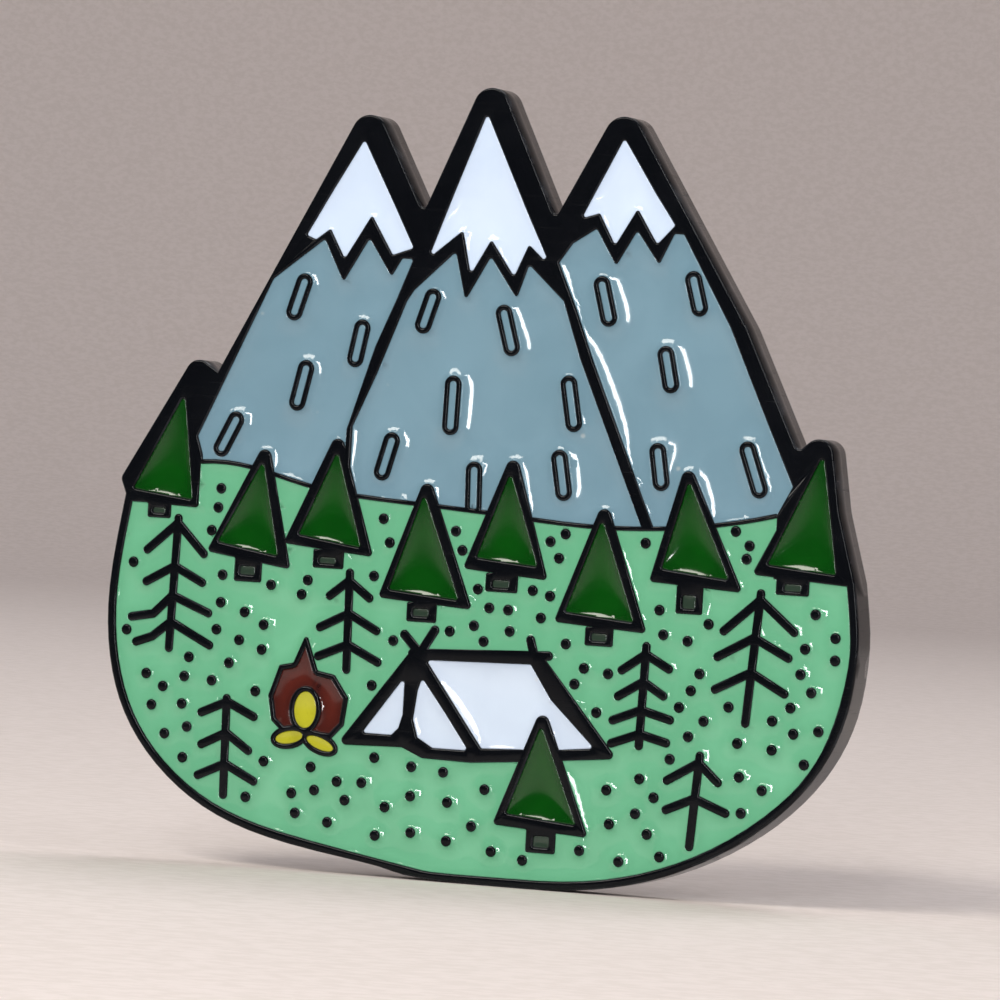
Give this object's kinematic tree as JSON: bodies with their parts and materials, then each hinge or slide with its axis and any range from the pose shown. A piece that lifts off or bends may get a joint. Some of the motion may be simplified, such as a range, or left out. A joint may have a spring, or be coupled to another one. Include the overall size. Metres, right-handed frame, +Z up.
{
  "type": "enamel pin",
  "caption": "Black metal badge with poured enamel peaks, firs, tent and campfire; tie-tack post and butterfly clutch behind.",
  "frame": {"origin": "on the post's axis, on the flat back of the badge's metal", "axes": "+Y out of the back along the post, the face looks along -Y; +Z up as the badge is worn; +X to the right for someone who looks at the face"},
  "size_m": [0.025, 0.01, 0.0251],
  "materials": {
    "black_metal": "glossy black dyed plating",
    "snow_enamel": "glossy",
    "rock_enamel": "glossy",
    "meadow_enamel": "glossy",
    "fir_enamel": "glossy",
    "trunk_enamel": "glossy",
    "tent_enamel": "glossy",
    "flame_enamel": "glossy",
    "ember_enamel": "glossy",
    "post_steel": "nickel plated",
    "solder": "dull",
    "clutch_brass": "satin"
  },
  "bodies": {
    "badge": {"badge_plate": "black_metal", "post": "post_steel", "solder_ring": "solder", "fir_1": "fir_enamel", "fir_2": "fir_enamel", "fir_3": "fir_enamel", "fir_4": "fir_enamel", "fir_5": "fir_enamel", "fir_6": "fir_enamel", "fir_7": "fir_enamel", "fir_8": "fir_enamel", "fir_9": "fir_enamel", "flame_inner": "ember_enamel", "flame_outer": "flame_enamel", "log_left": "ember_enamel", "log_right": "ember_enamel", "meadow": "meadow_enamel", "meadow_patch": "meadow_enamel", "rock_center": "rock_enamel", "rock_left": "rock_enamel", "rock_right": "rock_enamel", "rock_streaks": "rock_enamel", "snow_center": "snow_enamel", "snow_left": "snow_enamel", "snow_right": "snow_enamel", "tent_flap_left": "tent_enamel", "tent_flap_right": "tent_enamel", "tent_roof": "tent_enamel", "trunk_1": "trunk_enamel", "trunk_2": "trunk_enamel", "trunk_3": "trunk_enamel", "trunk_4": "trunk_enamel", "trunk_5": "trunk_enamel", "trunk_6": "trunk_enamel", "trunk_7": "trunk_enamel", "trunk_8": "trunk_enamel", "trunk_9": "trunk_enamel"},
    "clutch": {"clutch_base": "clutch_brass", "clutch_cap": "clutch_brass", "spring_seat": "clutch_brass"},
    "ear_left": {"wing_left": "clutch_brass"},
    "ear_right": {"wing_right": "clutch_brass"}
  },
  "joints": [
    {"name": "clutch_slide", "type": "slide", "parent": "badge", "child": "clutch", "axis": [0, 1, 0], "range_m": [-0.0026, 0.006]},
    {"name": "ear_right_pinch", "type": "hinge", "parent": "clutch", "child": "ear_right", "pos_m": [0.002, 0.00535, 0], "axis": [0, 0, 1], "range_deg": [0, 12], "stiffness_Nm_per_rad": 0.002},
    {"name": "ear_left_pinch", "type": "hinge", "parent": "clutch", "child": "ear_left", "pos_m": [-0.002, 0.00535, 0], "axis": [0, 0, -1], "range_deg": [0, 12], "stiffness_Nm_per_rad": 0.002}
  ],
  "couplings": [
    {"joint": "ear_left_pinch", "follows": "ear_right_pinch", "ratio": 1}
  ]
}
